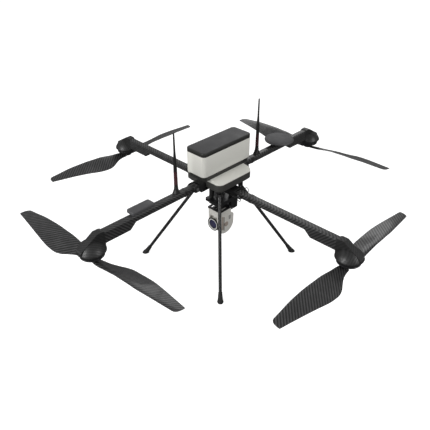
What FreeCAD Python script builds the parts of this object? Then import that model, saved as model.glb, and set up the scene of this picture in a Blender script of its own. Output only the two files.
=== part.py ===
import FreeCAD, Part
import math
import os
import re
import Sketcher
from FreeCAD import Placement, Rotation, Vector

# Folding quadcopter with a hanging camera. Millimetres, +Z up, origin on the ground under the
# centre of the body. The nose and the camera look along -Y, so the drone's left is +X.

NUMBERS = [
    # whole machine
    ("arm_reach", 411, "centre of the body to a motor axis"),
    ("upper_level", 258, "mid height of the front and rear arms"),
    ("lower_level", 232.5, "mid height of the left and right arms"),
    ("upper_hinge", 94, "centre to the fold pins of the front and rear arms"),
    ("lower_hinge", 82, "centre to the fold pins of the left and right arms"),
    # arm tube, in its own frame: x outwards, z from mid height
    ("tube_wide", 19, ""),
    ("tube_tall", 18, ""),
    ("tube_wall", 2.2, ""),
    ("tube_bevel", 3, ""),
    ("deep_drop", 15.5, "how much deeper the outer part of the arm is"),
    ("step_start", 288, ""),
    ("step_end", 306, ""),
    ("knuckle", 8, "arm root behind its pin"),
    ("solid_root", 28, "solid fitting ahead of the pin"),
    # arm bracket
    ("pin_radius", 3, ""),
    ("running_gap", 0.05, "radial play of every pin in its bore"),
    ("ear_gap", 0.4, ""),
    ("ear_thick", 4, ""),
    ("ear_ahead", 11, ""),
    ("ear_behind", 13.5, ""),
    ("loop_radius", 5, "ring at the end of a fold pin"),
    ("loop_wire", 1.2, ""),
    # motor pod, z from the arm's mid height
    ("pod_radius", 34, ""),
    ("dome_radius", 36, ""),
    ("dome_top", -3, ""),
    ("dome_wall", 2.5, ""),
    ("rim_base", -29, ""),
    ("boss_radius", 15, ""),
    ("boss_base", -20, ""),
    ("spine_top", 11, ""),
    ("spine_inner", 33.5, ""),
    # motor
    ("core_radius", 26, ""),
    ("core_base", -38.5, ""),
    ("flange_base", -23.5, ""),
    ("bell_radius", 29, ""),
    ("bell_wall", 2.5, ""),
    ("bell_top", -24.2, ""),
    ("bell_base", -43, ""),
    ("shaft_radius", 3, ""),
    ("shaft_top", -21, ""),
    # propeller
    ("prop_radius", 276, ""),
    ("hub_radius", 13, ""),
    ("hub_top", -45, ""),
    ("hub_base", -55, ""),
    # body
    ("body_half", 63.6, ""),
    ("body_corner", 16, ""),
    ("tub_base", 247, ""),
    ("tub_top", 272, ""),
    ("shell", 3, ""),
    ("tub_bevel", 7, ""),
    ("cover_ridge", 281, ""),
    ("ridge_half", 30, ""),
    ("hub_half", 22, ""),
    ("hub_floor", 222, ""),
    ("hub_corner", 6, ""),
    ("mount_x", 50, "payload bolt holes in the tub's floor, from the centre"),
    ("mount_y", 30, ""),
    ("mount_hole", 1.7, ""),
    ("tray_half_x", 30, ""),
    ("tray_half_y", 84, ""),
    # battery
    ("pack_half_x", 33, ""),
    ("pack_half_y", 89, ""),
    ("pack_corner", 10, ""),
    ("pack_base", 293, ""),
    ("cap_base", 350.5, ""),
    ("cap_top", 362, ""),
    ("pack_wall", 2.5, ""),
    ("button_radius", 6, ""),
    # legs
    ("leg_pivot_reach", 58, "centre to a leg hinge, along the diagonal"),
    ("leg_pivot_level", 228, ""),
    ("foot_reach", 215.8, "centre to the middle of a foot, along the diagonal"),
    ("leg_radius", 4.5, ""),
    ("leg_bore", 3.2, ""),
    ("eye_radius", 5.5, ""),
    ("eye_wide", 10, ""),
    ("leg_pin", 2, ""),
    ("foot_top_radius", 5.6, ""),
    ("foot_radius", 8, ""),
    ("foot_tall", 26, ""),
    # payload plate and gimbal
    ("plate_half_x", 22, ""),
    ("plate_half_y", 29, ""),
    ("plate_base", 218, ""),
    ("screw_x", 6, "plate screws, from the centre"),
    ("screw_y", 17, ""),
    ("screw_radius", 1.5, ""),
    ("gimbal_y", 9, "gimbal axes, behind the centre"),
    ("damper_x", 15, ""),
    ("damper_y", 22, ""),
    ("damper_base", 188, ""),
    ("damper_radius", 7.5, ""),
    ("carrier_base", 181, ""),
    ("carrier_half", 27, ""),
    ("carrier_front", 38, "carrier ahead of the pan axis"),
    ("carrier_rear", 31, ""),
    ("yaw_radius", 22, ""),
    ("yaw_shaft", 5, ""),
    ("yaw_arm_top", 176, ""),
    ("yaw_arm_base", 170, ""),
    ("roll_level", 154, ""),
    ("roll_box_front", 32, ""),
    ("roll_shaft", 4, ""),
    ("tilt_level", 105, ""),
    ("yoke_radius", 31, ""),
    ("yoke_half", 20, ""),
    ("drum_radius", 27.5, ""),
    ("drum_half", 13, ""),
    ("yoke_side", 13.5, "centre to the inner face of a yoke cheek"),
    ("lens_level", 110, ""),
    ("lens_radius", 20, ""),
    # aerials and boxes on the arms
    ("whip_reach", 154, ""),
    ("whip_top", 431, ""),
    ("puck_reach", 256, ""),
    ("puck_radius", 43, ""),
    ("puck_rise", 4.5, "height of the puck's domed cap"),
]

doc = FreeCAD.newDocument("quadcopter")
sizes = doc.addObject("Spreadsheet::Sheet", "Sizes")
aliases = set()
for row, (alias, value, note) in enumerate(NUMBERS, start=1):
    sizes.set(f"A{row}", alias)
    sizes.set(f"B{row}", str(value))
    sizes.set(f"C{row}", note)
    sizes.setAlias(f"B{row}", alias)
    aliases.add(alias)
doc.recompute()

parts = []
ARMS = {
    "front": (-90, "upper"),
    "rear": (90, "upper"),
    "left": (0, "lower"),
    "right": (180, "lower"),
}
LEGS = {"front_left": -45, "rear_left": 45, "rear_right": 135, "front_right": -135}


# ---- helpers -------------------------------------------------------------------------------


def formula(text):
    """A formula in aliases, with the sheet's name in front of each alias."""
    return re.sub(r"[a-z_]+", lambda m: "Sizes." + m[0] if m[0] in aliases else m[0], str(text))


def number(text):
    """The value of a formula, in millimetres."""
    return float(sizes.evalExpression(formula(text)))


def turned(azimuth, x="0", z="0", tilt=0):
    """A placement x outwards along an azimuth and z up, leaning outwards by tilt degrees."""
    turn = Rotation(Vector(0, 0, 1), azimuth)
    base = turn.multVec(Vector(number(x), 0, 0)) + Vector(0, 0, number(z))
    return Placement(base, turn * Rotation(Vector(0, 1, 0), -tilt))


def new_body(label, place=None, keep=True):
    body = doc.addObject("PartDesign::Body", label)
    body.Label = label
    body.Placement = place or Placement()
    if keep:
        parts.append(body)
    return body


def sketch_on(body, plane, offset="0"):
    """A sketch on one of the body's own origin planes, moved along the plane's normal."""
    sketch = body.newObject("Sketcher::SketchObject", body.Name + "_sketch")
    origin = [o for o in body.Origin.OriginFeatures if o.Role == plane][0]
    sketch.AttachmentSupport = [(origin, "")]
    sketch.MapMode = "FlatFace"
    if offset != "0":
        sketch.setExpression(".AttachmentOffset.Base.z", formula(offset))
    return sketch


def bind(sketch, kind, args, text, name):
    index = sketch.addConstraint(Sketcher.Constraint(kind, *args, number(text)))
    sketch.renameConstraint(index, name)
    sketch.setExpression("Constraints." + name, formula(text))


def fix_point(sketch, geometry, end, x, y, name):
    """Hold a point at x, y, each bound to its formula, or put it on the axis where it is 0."""
    for kind, text, axis, tag in (("DistanceX", x, -2, "x"), ("DistanceY", y, -1, "y")):
        if abs(number(text)) < 1e-9:
            sketch.addConstraint(Sketcher.Constraint("PointOnObject", geometry, end, axis))
        else:
            bind(sketch, kind, (-1, 1, geometry, end), text, tag + name)


def outline(sketch, points):
    """A closed outline of (x, y) formulas. A third item is the radius of the arc that leads to
    that point, positive where the arc bulges to the left of its direction."""
    places = [Vector(number(p[0]), number(p[1]), 0) for p in points]
    first = sketch.GeometryCount
    count = len(points)
    for i, point in enumerate(points):
        start, end = places[i - 1], places[i]
        if len(point) == 2:
            sketch.addGeometry(Part.LineSegment(start, end), False)
            continue
        radius = number(point[2])
        chord = end - start
        left = Vector(-chord.y, chord.x, 0).normalize()
        rise = abs(radius) - math.sqrt(radius ** 2 - (chord.Length / 2) ** 2)
        middle = (start + end) / 2 + left * math.copysign(rise, radius)
        sketch.addGeometry(Part.ArcOfCircle(start, middle, end), False)
    for i, point in enumerate(points):
        here = first + i
        following = first + (i + 1) % count
        end = 2
        if len(point) == 3:
            bulges_left = number(point[2]) > 0
            end = 1 if bulges_left else 2
            text = point[2].lstrip("-")
            bind(sketch, "Radius", (here,), text, f"r{here}")
        start = 1
        if len(points[(i + 1) % count]) == 3:
            start = 2 if number(points[(i + 1) % count][2]) > 0 else 1
        sketch.addConstraint(Sketcher.Constraint("Coincident", here, end, following, start))
        fix_point(sketch, here, end, point[0], point[1], str(here))


def rectangle(sketch, x_low, x_high, y_low, y_high):
    outline(sketch, [(x_low, y_low), (x_high, y_low), (x_high, y_high), (x_low, y_high)])


def circle(sketch, x, y, radius):
    index = sketch.addGeometry(
        Part.Circle(Vector(number(x), number(y), 0), Vector(0, 0, 1), number(radius)), False)
    fix_point(sketch, index, 3, x, y, f"c{index}")
    bind(sketch, "Radius", (index,), radius, f"r{index}")


def feature(body, kind, sketch, length=None, symmetric=False, down=False):
    made = body.newObject("PartDesign::" + kind, body.Name + "_" + kind.lower())
    made.Profile = sketch
    if length is not None:
        made.Length = number(length)
        made.setExpression("Length", formula(length))
        made.SideType = "Symmetric" if symmetric else "One side"
        made.Reversed = down
    sketch.Visibility = False
    return made


def turn(body, kind, points):
    """Revolve or groove an outline of (radius, height) about the body's own Z axis."""
    sketch = sketch_on(body, "XZ_Plane")
    outline(sketch, points)
    made = feature(body, kind, sketch)
    made.ReferenceAxis = (sketch, ["V_Axis"])
    made.Angle = 360
    return made


def dress(body, kind, size, chosen):
    """Fillet or chamfer the edges of the body that the test picks."""
    doc.recompute()
    base = body.Tip
    names = [f"Edge{i}" for i, edge in enumerate(base.Shape.Edges, start=1) if chosen(edge)]
    made = body.newObject("PartDesign::" + kind, body.Name + "_" + kind.lower())
    made.Base = (base, names)
    quantity = "Radius" if kind == "Fillet" else "Size"
    setattr(made, quantity, number(size))
    made.setExpression(quantity, formula(size))
    return made


def spans(edge):
    box = edge.BoundBox
    return box.XLength, box.YLength, box.ZLength


def upright(edge):
    x, y, z = spans(edge)
    return z > 1 and x < 1e-6 and y < 1e-6


def at_level(edge, level):
    box = edge.BoundBox
    return abs(box.ZMin - level) < 1e-6 and abs(box.ZMax - level) < 1e-6


def block(body, x_low, x_high, y_low, y_high, z_low, z_high, kind="Pad"):
    """A box between six formulas, added to the body or pocketed out of it."""
    sketch = sketch_on(body, "XY_Plane", z_low)
    rectangle(sketch, x_low, x_high, y_low, y_high)
    return feature(body, kind, sketch, f"({z_high}) - ({z_low})", down=kind == "Pocket")


def drill(body, plane, x, y, radius, length, offset="0", symmetric=True, up=False):
    sketch = sketch_on(body, plane, offset)
    circle(sketch, x, y, radius)
    return feature(body, "Pocket", sketch, length, symmetric, down=up)


def group(label, members):
    """Identical pieces that share one node."""
    made = doc.addObject("Part::Compound", label)
    made.Label = label
    made.Links = members
    parts.append(made)
    return made


# ---- arms ----------------------------------------------------------------------------------


def arm_tube(name, azimuth, layer):
    hinge = layer + "_hinge"
    body = new_body("arm_tube_" + name, turned(azimuth, z=layer + "_level"))
    half = "tube_tall / 2"
    deep = f"-{half} - deep_drop"
    root = f"{hinge} - knuckle"
    end = "arm_reach - spine_inner"
    side = sketch_on(body, "XZ_Plane")
    outline(side, [(root, f"-{half}"), ("step_start", f"-{half}"), ("step_end", deep),
                   (end, deep), (end, half), (root, half)])
    feature(body, "Pad", side, "tube_wide", symmetric=True)
    flank = number("tube_wide / 2")
    dress(body, "Chamfer", "tube_bevel",
          lambda e: spans(e)[0] > 5 and spans(e)[1] < 1e-6
          and abs(abs(e.BoundBox.YMax) - flank) < 1e-6)
    hollow = sketch_on(body, "XZ_Plane")
    start = f"{hinge} + solid_root"
    low = f"-{half} + tube_wall"
    outline(hollow, [(start, low), ("step_start + tube_wall / 2", low),
                     ("step_end + tube_wall / 2", f"{low} - deep_drop"),
                     (end + " + 1", f"{low} - deep_drop"),
                     (end + " + 1", f"{half} - tube_wall"), (start, f"{half} - tube_wall")])
    feature(body, "Pocket", hollow, "tube_wide - 2 * tube_wall", symmetric=True)
    drill(body, "XZ_Plane", hinge, "0", "pin_radius + running_gap", "tube_wide + 2")


def motor_cover(name, azimuth, layer):
    body = new_body("motor_cover_" + name, turned(azimuth, "arm_reach", layer + "_level"))
    shoulder = "dome_top - dome_radius + sqrt(dome_radius ^ 2 - pod_radius ^ 2)"
    turn(body, "Revolution", [("0", "dome_top", "-dome_radius"), ("0", "rim_base"),
                              ("pod_radius", "rim_base"), ("pod_radius", shoulder)])
    spine = sketch_on(body, "XZ_Plane")
    outline(spine, [("-spine_inner", "rim_base + 2"), ("pod_radius - 0.5", "rim_base + 2"),
                    ("pod_radius - 0.5", "-20"), ("pod_radius - 3", "-16"),
                    ("-14", "spine_top"), ("-28", "spine_top"),
                    ("-spine_inner", "tube_tall / 2")])
    feature(body, "Pad", spine, "tube_wide", symmetric=True)
    inner = "dome_radius - dome_wall"
    roof = f"dome_top - dome_radius + sqrt(({inner}) ^ 2 - "
    bore = "pod_radius - dome_wall"
    turn(body, "Groove", [("0", "rim_base - 1"), (bore, "rim_base - 1"),
                          (bore, f"{roof} ({bore}) ^ 2)"),
                          ("boss_radius", f"{roof} boss_radius ^ 2)", f"-({inner})"),
                          ("boss_radius", "boss_base"), ("0", "boss_base")])


def motor_stator(name, azimuth, layer):
    body = new_body("motor_stator_" + name, turned(azimuth, "arm_reach", layer + "_level"))
    bore = "shaft_radius + running_gap"
    turn(body, "Revolution", [(bore, "core_base"), ("core_radius", "core_base"),
                              ("core_radius", "flange_base"), ("core_radius + 1", "flange_base"),
                              ("core_radius + 1", "boss_base"), (bore, "boss_base")])


def motor_bell(name, azimuth, layer):
    body = new_body("motor_bell_" + name, turned(azimuth, "arm_reach", layer + "_level"))
    inner = "bell_radius - bell_wall"
    turn(body, "Revolution", [("0", "hub_top"), ("hub_radius", "hub_top"),
                              ("hub_radius", "bell_base"), ("bell_radius - 2", "bell_base"),
                              ("bell_radius", "bell_base + 2"), ("bell_radius", "bell_top"),
                              (inner, "bell_top"), (inner, "bell_base + 3"),
                              ("shaft_radius", "bell_base + 3"), ("shaft_radius", "shaft_top"),
                              ("0", "shaft_top")])


def blade_section(out, trailing, leading, drop_trailing, drop_leading, thickness):
    """The closed outline of a blade at one distance from the hub: a flat-bottomed, cambered
    section from its trailing edge (+Y, lower) to its leading edge (-Y, higher)."""
    tail = Vector(out, trailing, drop_trailing)
    nose = Vector(out, leading, drop_leading)
    along = nose - tail
    normal = Vector(0, -along.z, along.y).normalize()
    if normal.z < 0:
        normal = -normal
    top = [tail, tail + along * 0.4 + normal * 0.75 * thickness,
           tail + along * 0.75 + normal * thickness, nose]
    bottom = [nose, tail + along * 0.6 - normal * 0.25 * thickness, tail]
    edges = []
    for line in (top, bottom):
        curve = Part.BSplineCurve()
        curve.interpolate(line)
        edges.append(curve.toShape())
    return Part.Wire(edges)


def propeller(name, azimuth, layer, blade_azimuth):
    """Two lofted blades on a round hub. A blade's sections change in width, twist and height
    all along it, which no pad or revolution gives."""
    radius = number("prop_radius")
    hub_middle = number("(hub_top + hub_base) / 2")
    # fraction of the radius, trailing edge, leading edge, pitch in degrees, rise above the hub
    stations = [
        (0.03, 11, -12, 8, -4),
        (0.10, 13, -15, 10, -2),
        (0.22, 25, -17, 17, -1),
        (0.31, 37, -19, 20, 0),
        (0.38, 39.5, -20, 20, 1),
        (0.48, 38, -20.5, 18, 3),
        (0.60, 32.5, -20.5, 14, 6),
        (0.74, 25, -19, 12, 8),
        (0.89, 16.5, -16, 8, 8),
        (1.00, 10, -10, 4, 8),
    ]
    wires = []
    for share, trailing, leading, pitch, rise in stations:
        chord = trailing - leading
        lift = chord / 2 * math.sin(math.radians(pitch))
        flat = math.cos(math.radians(pitch))
        middle = (trailing + leading) / 2
        thickness = 6.5 - 5 * min(1, share * 1.6)
        height = hub_middle + rise
        wires.append(blade_section(share * radius, middle + chord / 2 * flat,
                                   middle - chord / 2 * flat, height - lift, height + lift,
                                   thickness))
    blade = Part.makeLoft(wires, True, False)
    other = blade.copy()
    other.rotate(Vector(0, 0, 0), Vector(0, 0, 1), 180)
    hub = Part.makeCylinder(number("hub_radius"), number("hub_top - hub_base"),
                            Vector(0, 0, number("hub_base")))
    made = doc.addObject("Part::Feature", "propeller_" + name)
    made.Label = "propeller_" + name
    made.Shape = hub.multiFuse([blade, other])
    place = turned(azimuth, "arm_reach", layer + "_level")
    made.Placement = Placement(place.Base, Rotation(Vector(0, 0, 1), blade_azimuth))
    parts.append(made)


def arm_bracket(name, azimuth, layer):
    """A clevis that the arm folds down in, on the tub's wall or on the hub box."""
    hinge = layer + "_hinge"
    body = new_body("arm_bracket_" + name, turned(azimuth, z=layer + "_level"))
    inner = "body_half" if layer == "upper" else "hub_half"
    outer = "tube_wide / 2 + ear_gap + ear_thick"
    half = "tube_tall / 2"
    back = f"{hinge} - ear_behind"
    below = "tub_base - upper_level"
    foot = f"{below} - 4" if layer == "upper" else f"-{half}"
    block(body, inner, back, f"-({outer})", outer, foot, half)
    for side in ("-", ""):
        near, far = f"{side}({outer})", f"{side}(tube_wide / 2 + ear_gap)"
        low, high = (near, far) if side else (far, near)
        block(body, back, f"{hinge} + ear_ahead", low, high, f"-{half}", half)
    if layer == "upper":
        block(body, "hub_half", back, f"-({outer})", outer, foot, below)
    dress(body, "Fillet", "tube_tall / 2 - 1",
          lambda e: spans(e)[1] > 3 and spans(e)[0] < 1e-6 and spans(e)[2] < 1e-6
          and abs(e.BoundBox.XMax - number(f"{hinge} + ear_ahead")) < 1e-6)
    drill(body, "XZ_Plane", hinge, "0", "pin_radius", "2 * (tube_wide)")


def arm_hinge_pin(name, azimuth, layer):
    """A fold pin with a pull ring at one end."""
    hinge = layer + "_hinge"
    body = new_body("arm_hinge_pin_" + name, turned(azimuth, z=layer + "_level"), keep=False)
    outer = "tube_wide / 2 + ear_gap + ear_thick"
    shank = sketch_on(body, "XZ_Plane")
    circle(shank, hinge, "0", "pin_radius")
    feature(body, "Pad", shank, f"2 * ({outer} + 2)", symmetric=True)
    ring = sketch_on(body, "XY_Plane")
    centre = f"{outer} + 1 + loop_radius"
    circle(ring, hinge, centre, "loop_radius")
    circle(ring, hinge, centre, "loop_radius - 2 * loop_wire")
    feature(body, "Pad", ring, "2 * loop_wire", symmetric=True)
    return body


# ---- legs ----------------------------------------------------------------------------------

splay = math.degrees(math.atan2(number("foot_reach - leg_pivot_reach"), number("leg_pivot_level")))
LEG_LENGTH = "sqrt((foot_reach - leg_pivot_reach) ^ 2 + leg_pivot_level ^ 2)"


def leg(name, azimuth):
    """A carbon tube with an eye at its top. Its own Z axis runs up along the leg."""
    place = turned(azimuth, "leg_pivot_reach", "leg_pivot_level", splay)
    body = new_body("leg_tube_" + name, place)
    length = f"({LEG_LENGTH})"
    ring = sketch_on(body, "XY_Plane", f"-{length} + 8")
    circle(ring, "0", "0", "leg_radius")
    feature(body, "Pad", ring, f"{length} - 8 - 3")
    eye = sketch_on(body, "XZ_Plane")
    circle(eye, "0", "0", "eye_radius")
    feature(body, "Pad", eye, "eye_wide", symmetric=True)
    drill(body, "XZ_Plane", "0", "0", "leg_pin + running_gap", "eye_wide + 4")
    drill(body, "XY_Plane", "0", "0", "leg_bore", f"{length} - 8 - 12", f"-{length} + 8",
          symmetric=False, up=True)

    foot = new_body("leg_foot_" + name, place)
    base = f"-{length}"
    turn(foot, "Revolution", [("0", f"{base} - 6"), ("foot_radius + 0.8", f"{base} - 6"),
                              ("foot_radius", f"{base} + 1"),
                              ("foot_top_radius + 0.6", f"{base} + 12"),
                              ("foot_top_radius", f"{base} + foot_tall"),
                              ("leg_radius", f"{base} + foot_tall"),
                              ("leg_radius", f"{base} + 8"), ("0", f"{base} + 8")])
    # the ground, which is level while the leg leans
    cos = f"(leg_pivot_level / {length})"
    sin = f"((foot_reach - leg_pivot_reach) / {length})"
    ground = sketch_on(foot, "XZ_Plane")
    outline(ground, [(f"-20 * {cos}", f"{base} + 20 * {sin}"),
                     (f"-20 * {cos} - 20 * {sin}", f"{base} + 20 * {sin} - 20 * {cos}"),
                     (f"20 * {cos} - 20 * {sin}", f"{base} - 20 * {sin} - 20 * {cos}"),
                     (f"20 * {cos}", f"{base} - 20 * {sin}")])
    feature(foot, "Pocket", ground, "40", symmetric=True)


def leg_bracket(name, azimuth):
    """A plate on the tub's underside with two cheeks hanging from it."""
    body = new_body("leg_bracket_" + name, turned(azimuth), keep=False)
    inner = "eye_wide / 2 + 0.3"
    outer = f"{inner} + 3"
    plate = "tub_base - 4"
    block(body, "leg_pivot_reach - 22", "leg_pivot_reach + 6", f"-({outer})", outer,
          plate, "tub_base")
    for side in ("-", ""):
        near, far = f"{side}({outer})", f"{side}({inner})"
        low, high = (near, far) if side else (far, near)
        block(body, "leg_pivot_reach - 6", "leg_pivot_reach + 6", low, high,
              "leg_pivot_level - 6", plate)
    drill(body, "XZ_Plane", "leg_pivot_reach", "leg_pivot_level", "leg_pin", "40")
    return body


def leg_hinge_pin(name, azimuth):
    place = turned(azimuth, "leg_pivot_reach", "leg_pivot_level")
    body = new_body("leg_hinge_pin_" + name, place, keep=False)
    shank = sketch_on(body, "XZ_Plane")
    circle(shank, "0", "0", "leg_pin")
    feature(body, "Pad", shank, "2 * (eye_wide / 2 + 0.3 + 3 + 1)", symmetric=True)
    return body


# ---- body ----------------------------------------------------------------------------------


def shell_box(label, half_x, half_y, corner, base, top, wall, floor, bevel=None):
    """An open box with round corners, and its underside bevelled where that is asked for."""
    body = new_body(label)
    block(body, f"-{half_x}", half_x, f"-{half_y}", half_y, base, top)
    dress(body, "Fillet", corner, upright)
    if bevel:
        dress(body, "Chamfer", bevel, lambda e: at_level(e, number(base)))
    pocket = sketch_on(body, "XY_Plane", f"{base} + {floor}")
    rectangle(pocket, f"-{half_x} + {wall}", f"{half_x} - {wall}",
              f"-{half_y} + {wall}", f"{half_y} - {wall}")
    feature(body, "Pocket", pocket, f"{top} - {base} - {floor}", down=True)
    return body


def body_shells():
    tub = shell_box("body_tub", "body_half", "body_half", "body_corner", "tub_base", "tub_top",
                    "body_corner / 3", "shell", "tub_bevel")
    cable = sketch_on(tub, "XY_Plane", "tub_base")
    circle(cable, "0", "0", "12")
    for x in ("-", ""):
        for y in ("-", ""):
            circle(cable, x + "mount_x", y + "mount_y", "mount_hole")
    feature(tub, "Pocket", cable, "shell", down=True)

    cover = new_body("body_cover")
    roof = sketch_on(cover, "XZ_Plane")
    outline(roof, [("-body_half", "tub_top"), ("body_half", "tub_top"),
                   ("body_half", "tub_top + 1.5"), ("ridge_half", "cover_ridge"),
                   ("-ridge_half", "cover_ridge"), ("-body_half", "tub_top + 1.5")])
    feature(cover, "Pad", roof, "2 * body_half", symmetric=True)
    dress(cover, "Fillet", "body_corner", upright)
    under = sketch_on(cover, "XZ_Plane")
    outline(under, [("-body_half + 14", "tub_top"), ("body_half - 14", "tub_top"),
                    ("ridge_half - 1", "cover_ridge - 2.5"),
                    ("-ridge_half + 1", "cover_ridge - 2.5")])
    feature(cover, "Pocket", under, "2 * body_half - 12", symmetric=True)

    hub = shell_box("frame_hub", "hub_half", "hub_half", "hub_corner", "hub_floor", "tub_base",
                    "shell", "shell")
    corners = sketch_on(hub, "XY_Plane", "hub_floor")
    for x in ("-", ""):
        for y in ("-", ""):
            circle(corners, x + "screw_x", y + "screw_y", "screw_radius")
    feature(hub, "Pocket", corners, "shell", down=True)


def circuit_board(label, half, floor, stand, lumps):
    """A board on four standoffs, with its larger components."""
    body = new_body(label)
    level = f"{floor} + {stand}"
    block(body, f"-{half}", half, f"-{half}", half, level, f"{level} + 1.6")
    posts = sketch_on(body, "XY_Plane", floor)
    for x in ("-", ""):
        for y in ("-", ""):
            circle(posts, f"{x}({half} - 5)", f"{y}({half} - 5)", "3")
    feature(body, "Pad", posts, stand)
    for x, y, half_x, half_y, tall in lumps:
        block(body, f"{x} - {half_x}", f"{x} + {half_x}", f"{y} - {half_y}", f"{y} + {half_y}",
              f"{level} + 1.6", f"{level} + 1.6 + {tall}")


def battery_tray():
    body = new_body("battery_tray")
    block(body, "-tray_half_x", "tray_half_x", "-tray_half_y", "tray_half_y",
          "cover_ridge", "pack_base")
    dress(body, "Fillet", "8", upright)
    # the well of the release button, open at the rear end
    block(body, "-8.3", "8.3", "tray_half_y - 9", "tray_half_y + 1", "cover_ridge + 2.7",
          "pack_base - 2.7", kind="Pocket")

    button = new_body("battery_release")
    block(button, "-8", "8", "tray_half_y - 6", "tray_half_y + 3", "cover_ridge + 3",
          "pack_base - 3")

    plug = new_body("battery_connector")
    block(plug, "-10", "10", "40", "52", "pack_base", "pack_base + 5")


def battery():
    case = new_body("battery_case")
    block(case, "-pack_half_x", "pack_half_x", "-pack_half_y", "pack_half_y",
          "pack_base", "cap_base")
    dress(case, "Fillet", "pack_corner", upright)
    block(case, "-pack_half_x + 4", "pack_half_x - 4", "-pack_half_y + 4", "pack_half_y - 4",
          "pack_base + 8", "cap_base", kind="Pocket")
    block(case, "-10.5", "10.5", "39.5", "52.5", "pack_base", "pack_base + 5.5", kind="Pocket")
    drill(case, "XZ_Plane", "0", "cap_base - 16", "button_radius + 0.1", "8",
          offset="-pack_half_y", symmetric=True)

    cap = new_body("battery_cap")
    block(cap, "-pack_half_x", "pack_half_x", "-pack_half_y", "pack_half_y",
          "cap_base", "cap_top")
    dress(cap, "Fillet", "pack_corner", upright)
    dress(cap, "Chamfer", "1.2", lambda e: at_level(e, number("cap_top")))

    button = new_body("power_button")
    face = sketch_on(button, "XZ_Plane", "-pack_half_y - 1")
    circle(face, "0", "cap_base - 16", "button_radius")
    feature(button, "Pad", face, "4")

    cells = new_body("battery_cell", keep=False)
    block(cells, "-27.5", "27.5", "-78", "78", "pack_base + 8.2", "pack_base + 8.2 + 7.8")
    stack = doc.addObject("Part::Compound", "battery_cells")
    stack.Label = "battery_cells"
    layers = []
    for layer in range(6):
        copy = doc.addObject("Part::Feature", f"cell_layer_{layer}")
        doc.recompute()
        copy.Shape = cells.Shape
        copy.Placement = Placement(Vector(0, 0, layer * 8.1), Rotation())
        layers.append(copy)
    stack.Links = layers
    parts.append(stack)


def payload_plate():
    body = new_body("payload_plate")
    block(body, "-plate_half_x", "plate_half_x", "gimbal_y - plate_half_y",
          "gimbal_y + plate_half_y", "plate_base", "hub_floor")
    dress(body, "Fillet", "4", upright)
    # the housing of the gimbal's controller, between the dampers
    block(body, "-7", "7", "-13", "13", "damper_base + 8", "plate_base")
    holes = sketch_on(body, "XY_Plane", "plate_base")
    screws = []
    for x in ("-screw_x", "screw_x"):
        for y in ("-screw_y", "screw_y"):
            circle(holes, x, y, "screw_radius")
            place = Placement(Vector(number(x), number(y), 0), Rotation())
            screw = new_body("plate_screw", place, keep=False)
            turn(screw, "Revolution", [
                ("0", "plate_base - 2.4"), ("2.8", "plate_base - 2.4"), ("2.8", "plate_base"),
                ("screw_radius", "plate_base"), ("screw_radius", "hub_floor + shell"),
                ("0", "hub_floor + shell")])
            screws.append(screw)
    feature(body, "Pocket", holes, "hub_floor - plate_base", down=True)
    group("plate_screws", screws)


# ---- gimbal --------------------------------------------------------------------------------


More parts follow.
